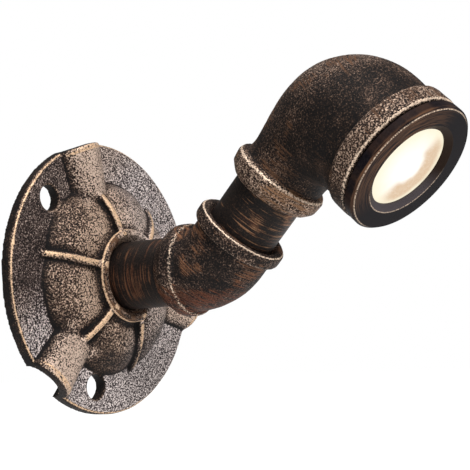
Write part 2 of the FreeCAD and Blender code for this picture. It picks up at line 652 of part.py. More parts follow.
def driver_board():
    """Circuit board on the insulator, with ears that reach the two lamp leads."""
    board = block(DRIVER_W, DRIVER_H, DRIVER_BACK, DRIVER_FRONT)
    ear = 2 * LED_LEAD_CIRCLE_R + 2 * LED_LEAD_HOLE_R
    board = board.fuse(block(ear, 4 * LED_LEAD_HOLE_R, DRIVER_BACK, DRIVER_FRONT))
    return board.common(rod(INSULATOR_R, DRIVER_BACK, DRIVER_FRONT))


def driver_inductor():
    """Wound drum inductor: two cheeks with the winding between them."""
    low = DRIVER_BACK - INDUCTOR_H
    cheek = INDUCTOR_CHEEK_T
    drum = turned([(0, low), (INDUCTOR_R, low), (INDUCTOR_R, low + cheek),
                   (INDUCTOR_WINDING_R, low + cheek), (INDUCTOR_WINDING_R, DRIVER_BACK - cheek),
                   (INDUCTOR_R, DRIVER_BACK - cheek), (INDUCTOR_R, DRIVER_BACK),
                   (0, DRIVER_BACK)])
    return drum.translated(Vector(-DRIVER_W / 4, DRIVER_H / 4, 0))


def driver_capacitor():
    """Can with the rolled groove near its seal."""
    low = DRIVER_BACK - CAPACITOR_H
    groove = DRIVER_BACK - CAPACITOR_GROOVE_AT
    half = CAPACITOR_GROOVE_W / 2
    waist_r = CAPACITOR_R - CAPACITOR_GROOVE
    can = turned([(0, low), (waist_r, low), (CAPACITOR_R, low + CAPACITOR_GROOVE),
                  (CAPACITOR_R, groove - half), (waist_r, groove), (CAPACITOR_R, groove + half),
                  (CAPACITOR_R, DRIVER_BACK), (0, DRIVER_BACK)])
    return can.translated(Vector(DRIVER_W / 4, DRIVER_H / 4, 0))


def driver_rectifier():
    """Small bridge rectifier with four feet."""
    low = DRIVER_BACK - RECTIFIER_H
    body = block(RECTIFIER_L, RECTIFIER_W, low, DRIVER_BACK - RECTIFIER_STAND)
    feet = [block(RECTIFIER_FOOT_W, RECTIFIER_FOOT_SPAN, DRIVER_BACK - RECTIFIER_FOOT_H,
                  DRIVER_BACK, (side * RECTIFIER_L / 3, 0)) for side in (-1, 1)]
    return body.multiFuse(feet).translated(Vector(*RECTIFIER_AT, 0))


# ---- supply lead, inlet and earth -----------------------------------------------------------
def supply_lead_wall():
    return rod(LEAD_R, LEAD_START, WALL_SPLIT - LEAD_SPLIT_GAP)


def supply_lead_arm():
    """Lead through the 45 degree elbow, from one swivel axis to the other."""
    outwards = Vector(0, -1, 0)
    start = ELBOW_CENTRE - outwards * ELBOW_TANGENT
    low = Part.makeCylinder(LEAD_R, WALL_TO_ELBOW - ELBOW_TANGENT - WALL_SPLIT,
                            outwards * WALL_SPLIT, outwards)
    turn = bend(LEAD_R, start, outwards, Z, ELBOW_BEND_R, ARM_ANGLE)
    high = placed(rod(LEAD_R, ELBOW_TANGENT, ARM_SPLIT - LEAD_SPLIT_GAP), ARM)
    return low.multiFuse([turn, high]).removeSplitter()


def supply_lead_head():
    """Lead up the head's neck, turning once to end square on the driver board."""
    low = ELBOW_TO_HEAD - ARM_SPLIT
    turn_start = Vector(0, -LEAD_END_Y - DRIVER_BACK, 0)
    straight = Part.makeCylinder(LEAD_R, low + turn_start.y, Vector(0, -low, 0), Y)
    turn = bend(LEAD_R, turn_start, Y, Z, DRIVER_BACK, 90)
    return straight.fuse(turn).removeSplitter()


def inlet_bush():
    """Insulating bush that lines the nipple's cut end round the lead."""
    low = NIPPLE_BACK - BUSH_FLANGE_T
    sleeve_r = PIPE_BORE_R - THREAD_CLEARANCE
    lead_hole_r = LEAD_R + THREAD_CLEARANCE
    return turned([(lead_hole_r, low), (BUSH_FLANGE_R, low), (BUSH_FLANGE_R, NIPPLE_BACK),
                   (sleeve_r, NIPPLE_BACK), (sleeve_r, NIPPLE_BACK + BUSH_SLEEVE),
                   (lead_hole_r, NIPPLE_BACK + BUSH_SLEEVE)])


def strain_tie():
    """Nylon tie pulled tight on the lead behind the bush, with its locking head."""
    high = NIPPLE_BACK - BUSH_FLANGE_T
    low = high - TIE_W
    lead_hole_r = LEAD_R + THREAD_CLEARANCE
    outer = lead_hole_r + TIE_WALL
    head = block(2 * TIE_WALL, 3 * TIE_WALL, low, high, (outer, 0))
    return rod(outer, low, high).fuse(head).cut(rod(lead_hole_r, low, high))


def earth_screw():
    seat = HOLLOW_DEPTH - EARTH_TAG_T
    low = seat - EARTH_SCREW_HEAD_H
    head = turned([(0, low), (EARTH_SCREW_HEAD_R - EARTH_SCREW_HEAD_TAPER, low),
                   (EARTH_SCREW_HEAD_R, low + EARTH_SCREW_HEAD_H / 2),
                   (EARTH_SCREW_HEAD_R, seat), (0, seat)])
    shank = rod(EARTH_SCREW_R, seat, HOLLOW_DEPTH + EARTH_SCREW_DEPTH)
    slot = block(2 * EARTH_SCREW_HEAD_R, EARTH_SCREW_SLOT_W, low, low + EARTH_SCREW_SLOT_DEPTH)
    return head.fuse(shank).cut(slot).translated(polar(EARTH_SCREW_AT_R, EARTH_ANGLE))


def earth_tag():
    """Ring terminal under the earth screw, with its crimp beside it."""
    high = HOLLOW_DEPTH
    low = high - EARTH_TAG_T
    ring = rod(EARTH_TAG_R, low, high)
    tail = Part.makeCylinder(EARTH_CRIMP_R, EARTH_TAG_TAIL, Vector(0, 0, high - EARTH_CRIMP_R), Y)
    tag = ring.fuse(tail).cut(rod(EARTH_SCREW_R, low, high))
    head_room = rod(EARTH_TAG_R, high - 2 * EARTH_CRIMP_R, low)
    tag = tag.cut(head_room)
    return turn_to(tag, EARTH_ANGLE).translated(polar(EARTH_SCREW_AT_R, EARTH_ANGLE))


NODES = {
    "wall_flange": (wall_flange, WALL),
    "wall_nipple": (lambda: nipple(NIPPLE_BACK, NIPPLE_FRONT), WALL),
    "inlet_bush": (inlet_bush, WALL),
    "strain_tie": (strain_tie, WALL),
    "earth_screw": (earth_screw, WALL),
    "earth_tag": (earth_tag, WALL),
    "supply_lead_wall": (supply_lead_wall, WALL),
    "elbow_45": (elbow_45, Placement()),
    "arm_nipple": (lambda: nipple(ARM_NIPPLE_START, ARM_NIPPLE_END), ARM),
    "supply_lead_arm": (supply_lead_arm, Placement()),
    "head_elbow": (head_elbow, HEAD),
    "bezel_ring": (bezel_ring, FACE),
    "lens": (lens, FACE),
    "lens_gasket": (lens_gasket, FACE),
    "reflector": (reflector, FACE),
    "led_chip": (led_chip, FACE),
    "led_board": (led_board, FACE),
    "board_screws": (board_screws, FACE),
    "thermal_pad": (thermal_pad, FACE),
    "heat_sink": (heat_sink, FACE),
    "insulator": (insulator, FACE),
    "driver_board": (driver_board, FACE),
    "driver_inductor": (driver_inductor, FACE),
    "driver_capacitor": (driver_capacitor, FACE),
    "driver_rectifier": (driver_rectifier, FACE),
    "supply_lead_head": (supply_lead_head, FACE),
    "led_lead_positive": (lambda: led_lead(1), FACE),
    "led_lead_negative": (lambda: led_lead(-1), FACE),
}


def main():
    os.makedirs("parts", exist_ok=True)
    for name, (make, frame) in NODES.items():
        shape = placed(make(), frame)
        shape.exportStep("parts/" + name + ".step")
        print(name, len(shape.Solids), "solid(s)", round(shape.Volume, 1), shape.isValid())


main()
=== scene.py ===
from collections import namedtuple
import json
import math

import bmesh
import bpy
import numpy as np
from mathutils import Matrix, Vector


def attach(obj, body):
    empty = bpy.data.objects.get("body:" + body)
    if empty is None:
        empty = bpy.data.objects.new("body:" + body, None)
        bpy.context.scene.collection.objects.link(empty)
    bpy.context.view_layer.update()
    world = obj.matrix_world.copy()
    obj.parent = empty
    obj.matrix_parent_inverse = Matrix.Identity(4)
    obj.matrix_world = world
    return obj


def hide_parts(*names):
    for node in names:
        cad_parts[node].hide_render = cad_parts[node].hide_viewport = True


# Looks of the pipe wall light: sand-cast fittings painted black-brown and dry-brushed with
# bronze, two nipples with turning marks, a satin black bezel and a lit frosted lens.
# Metres, row frame: the wall is the plane y = 0, -Y points into the room, +Z is up.
# Sizes in the local frames of the fittings are in millimetres.

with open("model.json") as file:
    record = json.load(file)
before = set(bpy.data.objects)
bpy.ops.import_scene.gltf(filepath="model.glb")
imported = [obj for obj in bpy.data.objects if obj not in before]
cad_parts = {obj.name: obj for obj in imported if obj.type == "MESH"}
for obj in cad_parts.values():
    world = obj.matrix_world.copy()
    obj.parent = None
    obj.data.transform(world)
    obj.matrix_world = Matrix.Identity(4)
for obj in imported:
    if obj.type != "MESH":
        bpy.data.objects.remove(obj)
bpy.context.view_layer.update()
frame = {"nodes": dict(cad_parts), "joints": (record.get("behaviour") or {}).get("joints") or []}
nodes = frame["nodes"]

MM = 0.001

# ---- camera ---------------------------------------------------------------------------------
CAMERA_AT = Vector((-0.26786, -0.22862, -0.01568))
CAMERA_RIGHT = Vector((0.55020, -0.83279, -0.06115))
CAMERA_UP = Vector((-0.03103, -0.09356, 0.99513))
FOCAL_PIXELS = 1079.9
FRAME_PIXELS = 470.0
SENSOR = 36.0

# ---- skin of the castings -------------------------------------------------------------------
FLANGE_VOXEL = 0.43 * MM     # coarse enough that the export keeps each mesh whole
ELBOW_VOXEL = 0.36 * MM
HEAD_VOXEL = 0.42 * MM
GRAIN_SIZE = 0.70 * MM       # sand grain left by the mould
GRAIN_DEPTH = 0.14 * MM
SWELL_SIZE = 7.0 * MM        # slow unevenness of a casting
SWELL_DEPTH = 0.25 * MM
PIPE_GAP = 0.12              # millimetres that the grain stays off a pipe in its socket
PIPE_MARGIN = 1.0            # how far past the pipe's ends that holds
SOCKET_DEPTH = 2.0           # how far inside the pipe's skin a point may lie to be moved

# ---- stage ----------------------------------------------------------------------------------
WHITE = (1, 1, 1, 1)
FLOOR_Z = -0.22
FLOOR_SIZE = 6.0
FLOOR_DARK = (0.78, 0.78, 0.77, 1)
FLOOR_LIGHT = (0.84, 0.84, 0.83, 1)
FLOOR_GLOW_NEAR = 0.62       # white added to the floor under the lamp, and far from it
FLOOR_GLOW_FAR = 0.93
SKY_STRENGTH = 0.22          # light of the sky; its picture is plain white
MIDDLE = Vector((0.0, -0.05, 0.02))  # what the area lights point at
AREA_LIGHTS = (              # name, place, size and watts
    ("key", (-0.50, -0.70, 0.80), 0.5, 12),
    ("fill", (0.55, -0.8, 0.25), 0.8, 2),
    ("top", (-0.1, 0.1, 0.9), 0.5, 3),
)

# ---- frames of the fittings, from the joints and the lens -----------------------------------
joints = {joint["name"]: joint for joint in frame["joints"]}


def frame_matrix(origin, z_axis, x_hint):
    """Matrix from a local frame to the row frame, with local Z along z_axis."""
    z_axis = z_axis.normalized()
    x_axis = (x_hint - z_axis * x_hint.dot(z_axis)).normalized()
    y_axis = z_axis.cross(x_axis)
    turn = Matrix((x_axis, y_axis, z_axis)).transposed().to_4x4()
    return Matrix.Translation(origin) @ turn


def node_corners(node):
    return np.array([vertex.co for vertex in nodes[node].data.vertices])


def disc_axis(node):
    """Centre and axis of a flat round node, the axis pointing into the room."""
    corners = node_corners(node)
    spread = corners - corners.mean(0)
    axis = Vector(np.linalg.eigh(spread.T @ spread)[1][:, 0])
    if axis.y > 0:
        axis = -axis
    return Vector((corners.min(0) + corners.max(0)) / 2), axis


def meeting_point(point_a, axis_a, point_b, axis_b):
    """Point of line a that is nearest to line b."""
    across = axis_a.cross(axis_b)
    length = (point_b - point_a).cross(axis_b).dot(across) / across.length_squared
    return point_a + axis_a * length


ELBOW_CENTRE = Vector(joints["arm_swivel"]["pos_m"])
OUTWARDS = Vector(joints["arm_swivel"]["axis"]).normalized()
ARM_AXIS = Vector(joints["head_swivel"]["axis"]).normalized()
gasket_centre, FACE_AXIS = disc_axis("lens_gasket")
HEAD_CENTRE = meeting_point(ELBOW_CENTRE, ARM_AXIS, gasket_centre, FACE_AXIS)
X_AXIS = Vector((1, 0, 0))
WALL = frame_matrix(Vector((0, 0, 0)), OUTWARDS, X_AXIS)
ELBOW = Matrix.Translation(ELBOW_CENTRE)
ARM = frame_matrix(ELBOW_CENTRE, ARM_AXIS, X_AXIS)
INLET = frame_matrix(HEAD_CENTRE, -ARM_AXIS, X_AXIS)
FACE = frame_matrix(HEAD_CENTRE, FACE_AXIS, X_AXIS)


# ---- mesh helpers ---------------------------------------------------------------------------
def read_points(mesh, what="vertices"):
    values = np.empty(len(mesh.vertices) * 3)
    if what == "vertices":
        mesh.vertices.foreach_get("co", values)
    else:
        mesh.vertex_normals.foreach_get("vector", values)
    return values.reshape(-1, 3)


def write_points(mesh, points):
    mesh.vertices.foreach_set("co", np.ascontiguousarray(points, np.float32).ravel())
    mesh.update()


def local_points(points, matrix):
    """Points of the row frame in a local frame, in millimetres."""
    inverse = np.array(matrix.inverted())
    return (points @ inverse[:3, :3].T + inverse[:3, 3]) / MM


def row_points(local, matrix):
    """Points of a local frame, in millimetres, back in the row frame."""
    back = np.array(matrix)
    return (local * MM) @ back[:3, :3].T + back[:3, 3]


def extent(node, matrix):
    """Largest radius and the two ends of a node, measured in a local frame."""
    local = local_points(node_corners(node), matrix)
    return np.hypot(local[:, 0], local[:, 1]).max(), local[:, 2].min(), local[:, 2].max()


def smooth_step(values, low, high):
    share = np.clip((values - low) / (high - low), 0.0, 1.0)
    return share * share * (3.0 - 2.0 * share)


def soft_band(values, middle, half_width):
    """One in the middle of a band and falling to nothing at its sides."""
    return np.exp(-((values - middle) / half_width) ** 2)


def relaxed(mesh, rounds, weight=0.5):
    """The mesh's points in millimetres after rounds of drawing each to its neighbours."""
    points = read_points(mesh) / MM
    ends = np.empty(len(mesh.edges) * 2, np.int64)
    mesh.edges.foreach_get("vertices", ends)
    first, second = ends.reshape(-1, 2).T
    count = len(points)
    degree = np.bincount(first, minlength=count) + np.bincount(second, minlength=count)
    for _ in range(rounds):
        for axis in range(3):
            values = points[:, axis]
            total = np.bincount(first, values[second], count)
            total += np.bincount(second, values[first], count)
            points[:, axis] = values + (total / degree - values) * weight
    return points


def stand_out(mesh, rounds):
    """How far each vertex stands proud of its smoothed surroundings, in millimetres."""
    gap = read_points(mesh) / MM - relaxed(mesh, rounds)
    return (gap * read_points(mesh, "normals")).sum(1)


def put_attributes(mesh, values):
    for name, value in values.items():
        attribute = mesh.attributes.new(name, "FLOAT", "POINT")
        attribute.data.foreach_set("value", np.ascontiguousarray(value, np.float32))


def cloud(name, size, depth=2):
    texture = bpy.data.textures.new(name, "CLOUDS")
    texture.noise_scale = size
    texture.noise_depth = depth
    texture.noise_basis = "IMPROVED_PERLIN"
    return texture


grain_cloud = cloud("grain", GRAIN_SIZE)
swell_cloud = cloud("swell", SWELL_SIZE, 1)


def displace(piece, texture, strength):
    modifier = piece.modifiers.new(texture.name, "DISPLACE")
    modifier.texture = texture
    modifier.strength = strength
    modifier.mid_level = 0.5
    modifier.texture_coords = "LOCAL"


def apply_modifiers(piece):
    view = bpy.context.evaluated_depsgraph_get()
    made = bpy.data.meshes.new_from_object(piece.evaluated_get(view))
    piece.modifiers.clear()
    old = piece.data
    piece.data = made
    bpy.data.meshes.remove(old)


def casting(node, body, name, voxel, softness, edge_rounds, form_rounds):
    """Sand-cast copy of a CAD node: softened edges, slow swell and grain, as real geometry.

    softness(mesh) gives the rounds of smoothing, and the share of it that each vertex takes.
    Returns the piece, how proud its edges are and how proud its larger forms are.
    """
    mesh = nodes[node].data.copy()
    mesh.materials.clear()
    work = bmesh.new()
    work.from_mesh(mesh)
    bmesh.ops.remove_doubles(work, verts=work.verts, dist=MM / 1000)
    work.to_mesh(mesh)
    work.free()
    piece = bpy.data.objects.new(name, mesh)
    bpy.context.collection.objects.link(piece)
    remesh = piece.modifiers.new("remesh", "REMESH")
    remesh.mode = "VOXEL"
    remesh.voxel_size = voxel
    apply_modifiers(piece)
    write_points(piece.data, relaxed(piece.data, 1) * MM)
    rounds, share = softness(piece.data)
    write_points(piece.data, relaxed(piece.data, rounds, share) * MM)
    edges = stand_out(piece.data, edge_rounds)
    forms = stand_out(piece.data, form_rounds)
    displace(piece, swell_cloud, SWELL_DEPTH)
    displace(piece, grain_cloud, GRAIN_DEPTH)
    apply_modifiers(piece)
    piece.data.shade_smooth()
    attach(piece, body)
    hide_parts(node)
    return piece, edges, forms


def keep_off_pipe(piece, pipe, matrix):
    """Pushes a socket's wall off the pipe that is screwed into it."""
    radius, low, high = extent(pipe, matrix)
    radius += PIPE_GAP
    local = local_points(read_points(piece.data), matrix)
    reach = np.hypot(local[:, 0], local[:, 1])
    inside = (local[:, 2] > low - PIPE_MARGIN) & (local[:, 2] < high + PIPE_MARGIN)
    inside &= (reach < radius) & (reach > radius - SOCKET_DEPTH)
    local[:, :2] *= np.where(inside, radius / np.maximum(reach, 1.0), 1.0)[:, None]
    write_points(piece.data, row_points(local, matrix))


# ---- node helpers ---------------------------------------------------------------------------
class Graph:
    """Short calls for building the nodes of a material or a world."""

    def __init__(self, holder, output="ShaderNodeOutputMaterial"):
        self.holder = holder
        holder.use_nodes = True
        self.tree = holder.node_tree
        self.tree.nodes.clear()
        self.output = self.tree.nodes.new(output)

    def add(self, kind, inputs=None, **settings):
        node = self.tree.nodes.new(kind)
        for key, value in settings.items():
            setattr(node, key, value)
        for key, value in (inputs or {}).items():
            socket = node.inputs[key]
            if isinstance(value, bpy.types.NodeSocket):
                self.tree.links.new(value, socket)
            else:
                socket.default_value = value
        return node

    def show(self, shader):
        self.tree.links.new(shader, self.output.inputs["Surface"])
        return self.holder

    def math(self, operation, first, second=0.0):
        return self.add("ShaderNodeMath", {0: first, 1: second}, operation=operation).outputs[0]

    def both(self, first, second):
        return self.math("MULTIPLY", first, second)

    def sum(self, first, second):
        return self.math("ADD", first, second)

    def swing(self, value, reach):
        """A noise value moved to lie about nothing, to both sides by up to half the reach."""
        return self.both(self.math("SUBTRACT", value, 0.5), reach)

    def vector(self, operation, first, second=(0.0, 0.0, 0.0)):
        node = self.add("ShaderNodeVectorMath", {0: first, 1: second}, operation=operation)
        return node.outputs["Value" if operation in ("LENGTH", "DOT_PRODUCT") else "Vector"]

    def span(self, value, low, high, start=0.0, end=1.0):
        """Start up to low, end from high on, and a smooth step between."""
        node = self.add("ShaderNodeMapRange",
                        {"Value": value, "From Min": low, "From Max": high,
                         "To Min": start, "To Max": end}, interpolation_type="SMOOTHSTEP")
        return node.outputs["Result"]

    def band(self, value, middle, half_width):
        """One at the middle, nothing from half_width to each side on."""
        off = self.math("ABSOLUTE", self.math("SUBTRACT", value, middle))
        return self.span(off, 0.0, half_width, 1.0, 0.0)

    def mix(self, share, first, second):
        """Colour between two, by inputs 0, 6 and 7, which are the mix node's for colours."""
        node = self.add("ShaderNodeMix", {0: share, 6: first, 7: second}, data_type="RGBA")
        return node.outputs[2]

    def ramp(self, value, stops):
        node = self.add("ShaderNodeValToRGB", {"Fac": value})
        elements = node.color_ramp.elements
        elements[0].position, elements[0].color = stops[0]
        elements[1].position, elements[1].color = stops[-1]
        for position, colour in stops[1:-1]:
            elements.new(position).color = colour
        return node.outputs["Color"]

    def noise(self, vector, scale, detail=2.0, roughness=0.5):
        node = self.add("ShaderNodeTexNoise", {"Vector": vector, "Scale": scale,
                                               "Detail": detail, "Roughness": roughness})
        return node.outputs["Fac"]

    def attribute(self, name):
        return self.add("ShaderNodeAttribute", attribute_name=name).outputs["Fac"]

    def place(self):
        """Object coordinates in millimetres."""
        coordinates = self.add("ShaderNodeTexCoord").outputs["Object"]
        return self.vector("MULTIPLY", coordinates, (1 / MM,) * 3)

    def place_in(self, matrix):
        """Object coordinates in millimetres in a local frame."""
        inverse = matrix.inverted()
        coordinates = self.add("ShaderNodeTexCoord").outputs["Object"]
        node = self.add("ShaderNodeMapping",
                        {"Vector": coordinates, "Location": inverse.translation,
                         "Rotation": inverse.to_euler()})
        return self.vector("MULTIPLY", node.outputs["Vector"], (1 / MM,) * 3)

    def parts(self, vector):
        return self.add("ShaderNodeSeparateXYZ", {"Vector": vector}).outputs

    def joined(self, **parts):
        return self.add("ShaderNodeCombineXYZ", parts).outputs[0]

    def across(self, place):
        """The share of a place that is square to local Z."""
        parts = self.parts(place)
        return self.joined(X=parts["X"], Y=parts["Y"])

    def round_streaks(self, place, along, around):
        """Noise that is drawn out around local Z, as brush and turning marks are."""
        ring = self.vector("NORMALIZE", self.across(place))
        ring = self.vector("MULTIPLY", ring, (around, around, 0.0))
        rise = self.joined(Z=self.both(self.parts(place)["Z"], along))
        return self.noise(self.vector("ADD", ring, rise), 1.0, 3.0, 0.6)

    def side(self, place, degrees, low, high):
        """One on the side of local Z that lies at this turn from local X."""
        turn = math.radians(degrees)
        towards = (math.cos(turn), math.sin(turn), 0.0)
        share = self.vector("DOT_PRODUCT", self.vector("NORMALIZE", self.across(place)), towards)
        return self.span(share, low, high)

    def ring(self, matrix, radius, height, half_width):
        """One along a ring round a frame's Z axis, nothing from half_width to each side on."""
        place = self.place_in(matrix)
        outward = self.math("SUBTRACT", self.vector("LENGTH", self.across(place)), radius)
        upward = self.math("SUBTRACT", self.parts(place)["Z"], height)
        off = self.vector("LENGTH", self.joined(X=outward, Y=upward))
        return self.span(off, 0.0, half_width, 1.0, 0.0)

    def bump(self, height, strength, distance):
        node = self.add("ShaderNodeBump", {"Height": height, "Strength": strength,
                                           "Distance": distance})
        return node.outputs["Normal"]

    def finish(self, inputs):
        """Ends a material with a principled shader that has these inputs, and returns it."""
        return self.show(self.add("ShaderNodeBsdfPrincipled", inputs).outputs["BSDF"])


def new_graph(name):
    return Graph(bpy.data.materials.new(name))


def give(name, material):
    """Gives a CAD node one material on all its faces."""
    piece = nodes[name]
    if not piece.material_slots:
        piece.data.materials.append(material)
    for slot in piece.material_slots:
        slot.material = material


# ---- materials ------------------------------------------------------------------------------
SOOT = (0.007, 0.006, 0.006, 1)
UMBER = (0.032, 0.020, 0.015, 1)
SLATE = (0.036, 0.029, 0.031, 1)
BRONZE = (0.170, 0.108, 0.078, 1)
MAUVE_SHEEN = (0.185, 0.150, 0.152, 1)
TAN = (0.640, 0.465, 0.350, 1)
PALE_GLINT = (0.830, 0.740, 0.710, 1)
CREAM = (0.860, 0.660, 0.500, 1)
AMBER = (0.780, 0.530, 0.340, 1)
RUST = (0.200, 0.064, 0.032, 1)
BROWN = (0.165, 0.082, 0.045, 1)
GOLD = (0.380, 0.205, 0.110, 1)

INK = (0.006, 0.005, 0.007, 1)
INK_LIGHT = (0.015, 0.012, 0.014, 1)
BEVEL_DARK = (0.030, 0.018, 0.012, 1)
BEVEL_LIGHT = (0.105, 0.090, 0.098, 1)
GLASS = (0.16, 0.15, 0.13, 1)
GLOW_WHITE = (1.0, 0.98, 0.93, 1)
GLOW_CREAM = (0.98, 0.90, 0.68, 1)
GLOW_TAN = (0.68, 0.47, 0.29, 1)

WARM_SPECKLE = ((0.0, SOOT), (0.30, UMBER), (0.62, BRONZE), (1.0, TAN))
# The grey speckle is a painted sheen: the light's reflection on the grain, painted in.
GREY_SHEEN_SPECKLE = ((0.0, SOOT), (0.30, SLATE), (0.62, MAUVE_SHEEN), (1.0, PALE_GLINT))

# Scales of the noise, per millimetre.
GRAIN_SCALE = 2.05
FINE_SCALE = 4.6
PATCH_SCALE = 0.14
SPOT_SCALE = 0.11
PAINT_SCALE = 2.4            # grain of the paint on the pipes and the bezel
# Scales of the streaks along a frame's Z, per millimetre, and around it, per turn.
BRUSH_STREAKS = (2.2, 1.9)
TURNING_STREAKS = (1.9, 0.8)
FINE_STREAKS = (5.0, 2.6)

# A rubbed ring round a frame's Z axis, in millimetres. How rubbed it is goes from the share
# away, on the side that faces away, to the share lit on the lit side.
Line = namedtuple("Line", "matrix radius height half_width away lit")


def cast_metal(name, streak_frame, streak_colour, rubbed_colour, lines):
    """Black-brown paint with dry-brushed bronze, brush streaks and rubbed edges.

    The attributes say where: bronze how dense the dry brushing is, and on the flange and the
    head also painted shade and painted highlight; grey how much of the grey speckle shows, a
    painted sheen of the light on the grain; streaks where the brush was dragged, gold where that
    left gold, worn the rubbed edges, on the flange's ribs with a painted highlight on their upper
    sides; and lit which side of a rubbed ring is the lit one.
    """
    graph = new_graph(name)
    place = graph.place()
    bronze = graph.attribute("bronze")
    grain = graph.noise(place, GRAIN_SCALE, 3.0, 0.62)
    fine = graph.noise(place, FINE_SCALE, 2.0, 0.6)
    patch = graph.noise(place, PATCH_SCALE, 3.0, 0.55)

    # Bronze on the grains: the denser the brushing, the sharper the speckle and the fewer
    # the bare patches.
    speckle = graph.sum(bronze, graph.swing(grain, graph.sum(graph.both(bronze, 6.0), 1.80)))
    speckle = graph.sum(speckle, graph.both(graph.swing(patch, 1.3),
                                            graph.math("SUBTRACT", 0.75, bronze)))
    warm = graph.ramp(speckle, WARM_SPECKLE)
    # Grey speckle: a painted sheen of the light on the grain.
    grey_sheen = graph.ramp(speckle, GREY_SHEEN_SPECKLE)
    colour = graph.mix(graph.attribute("grey"), warm, grey_sheen)

    # Streaks of the brush, in spots.
    marks = graph.round_streaks(graph.place_in(streak_frame), *BRUSH_STREAKS)
    drag = graph.sum(graph.span(marks, 0.44, 0.60), graph.swing(grain, 1.6))
    spots = graph.sum(graph.noise(place, SPOT_SCALE, 2.0), graph.swing(marks, 0.5))
    where = graph.sum(graph.attribute("streaks"), graph.span(spots, 0.42, 0.66, -1.0, 0.6))
    drag = graph.both(graph.math("MAXIMUM", drag, 0.0), graph.span(where, 0.0, 0.9))
    dragged = graph.mix(graph.attribute("gold"), streak_colour, GOLD)
    dragged = graph.mix(graph.span(fine, 0.35, 0.62), graph.mix(0.65, dragged, SOOT), dragged)
    colour = graph.mix(drag, colour, dragged)

    # Rubbed edges and rings, broken up by the grain.
    rub = graph.sum(graph.attribute("worn"), graph.swing(fine, 1.1))
    rub = graph.sum(rub, graph.swing(grain, 1.3))
    for line in lines:
        ring = graph.ring(line.matrix, line.radius, line.height, line.half_width)
        strength = graph.both(graph.attribute("lit"), line.lit - line.away)
        rub = graph.sum(rub, graph.both(ring, graph.sum(strength, line.away)))
    rub = graph.span(rub, 0.45, 0.75)
    rubbed = graph.mix(graph.span(grain, 0.30, 0.54), BRONZE, rubbed_colour)
    colour = graph.mix(rub, colour, rubbed)

    shine = graph.math("MAXIMUM", graph.span(speckle, 0.25, 0.95), rub)
    height = graph.sum(graph.both(grain, 0.8), graph.both(fine, 0.35))
    return graph.finish({"Base Color": colour, "Metallic": graph.both(shine, 0.35),
                         "Roughness": graph.span(shine, 0.0, 1.0, 0.60, 0.42),
                         "Specular IOR Level": 0.10,
                         "Normal": graph.bump(height, 0.65, 0.28 * MM)})


def turned_pipe(name, matrix, cover_share, light, light_side):
    """Black pipe with turning marks that run round it, and worn through to brown in streaks."""
    graph = new_graph(name)
    place = graph.place_in(matrix)
    marks = graph.round_streaks(place, *TURNING_STREAKS)
    fine = graph.round_streaks(place, *FINE_STREAKS)
    patch = graph.noise(place, 0.17, 2.0)
    grain = graph.noise(place, PAINT_SCALE, 3.0)
    paint = graph.mix(graph.span(grain, 0.40, 0.75), SOOT, UMBER)
    lift = graph.sum(graph.swing(marks, 2.0), graph.sum(graph.swing(patch, 0.9),
                                                        graph.swing(grain, 0.3)))
    lift = graph.sum(lift, graph.both(graph.side(place, light_side, -0.4, 0.8), 0.32))
    cover = graph.span(lift, 0.50 - cover_share, 0.95 - cover_share)
    worn = graph.mix(graph.span(fine, 0.36, 0.60), RUST, light)
    colour = graph.mix(graph.both(cover, graph.span(fine, 0.36, 0.56, 0.15, 1.0)), paint, worn)
    height = graph.sum(marks, graph.both(fine, 0.7))
    return graph.finish({"Base Color": colour, "Metallic": graph.both(cover, 0.35),
                         "Roughness": graph.span(fine, 0.3, 0.7, 0.42, 0.55),
                         "Specular IOR Level": 0.12,
                         "Normal": graph.bump(height, 0.6, 0.18 * MM)})


BEZEL_R, _, BEZEL_FRONT = extent("bezel_ring", FACE)
LENS_R = extent("lens", FACE)[0]
BEVEL_R = LENS_R + 0.8       # outside of the bevel in the bezel's opening
BEVEL_FROM, BEVEL_TO = 12.0, 12.4    # where the bevel's tone sets in, over the lens's rim
LIT_SIDE = 165            # turn from local X of the bezel's lit side, with its brown smears and painted bright edges
BEVEL_LIGHT_SIDE = -65


def face_radius(graph):
    """Place in the lamp's frame and distance from its axis, in millimetres."""
    place = graph.place_in(FACE)
    return place, graph.vector("LENGTH", graph.across(place))


